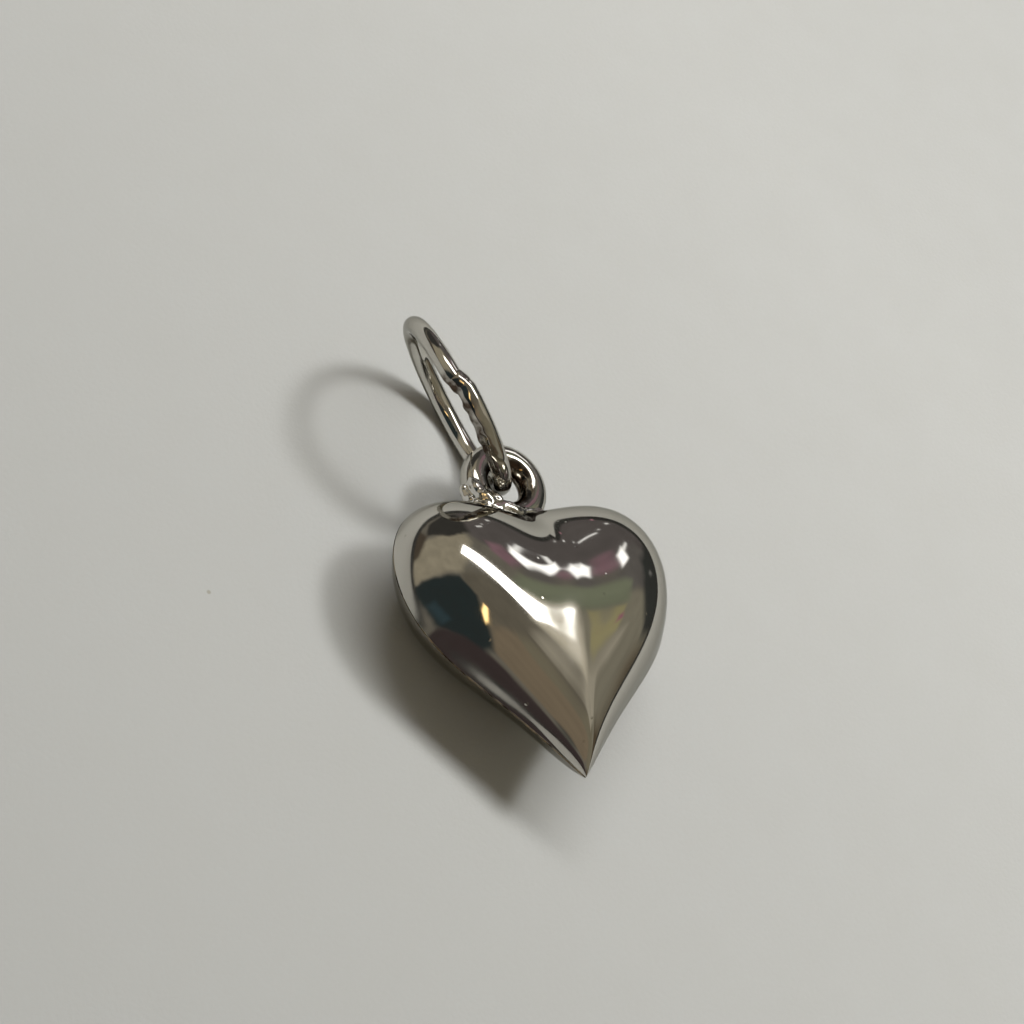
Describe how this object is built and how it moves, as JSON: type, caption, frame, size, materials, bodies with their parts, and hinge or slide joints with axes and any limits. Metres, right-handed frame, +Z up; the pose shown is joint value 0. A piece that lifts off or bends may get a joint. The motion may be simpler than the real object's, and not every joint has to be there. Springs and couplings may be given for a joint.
{
  "type": "puffed heart charm",
  "caption": "Hollow puffed heart charm struck as two halves, with a fixed hanging loop soldered between its lobes and a jump ring that swings in the loop.",
  "frame": {"origin": "on the surface that the charm lies on, under the middle of its overall box", "axes": "+Y from the heart's point towards the hanging loop and the jump ring, +Z up, out of the heart's front"},
  "size_m": [0.0126, 0.0202, 0.0071],
  "materials": {
    "heart_silver": "mirror-polished silver sheet",
    "wire_silver": "polished silver wire",
    "solder": "lumpy, partly polished silver solder",
    "seam_line": "tarnished solder line"
  },
  "bodies": {
    "heart": {"front_shell": "heart_silver", "back_shell": "heart_silver", "seam_solder": "seam_line", "hanging_loop": "wire_silver", "loop_solder": "solder"},
    "ring": {"jump_ring": "wire_silver", "jump_ring_solder": "solder"}
  },
  "joints": [
    {"name": "jump_ring_swing", "type": "hinge", "parent": "heart", "child": "ring", "pos_m": [0, 0.00423, 0.00278], "axis": [1, 0, 0], "range_deg": [-72, 2]}
  ]
}
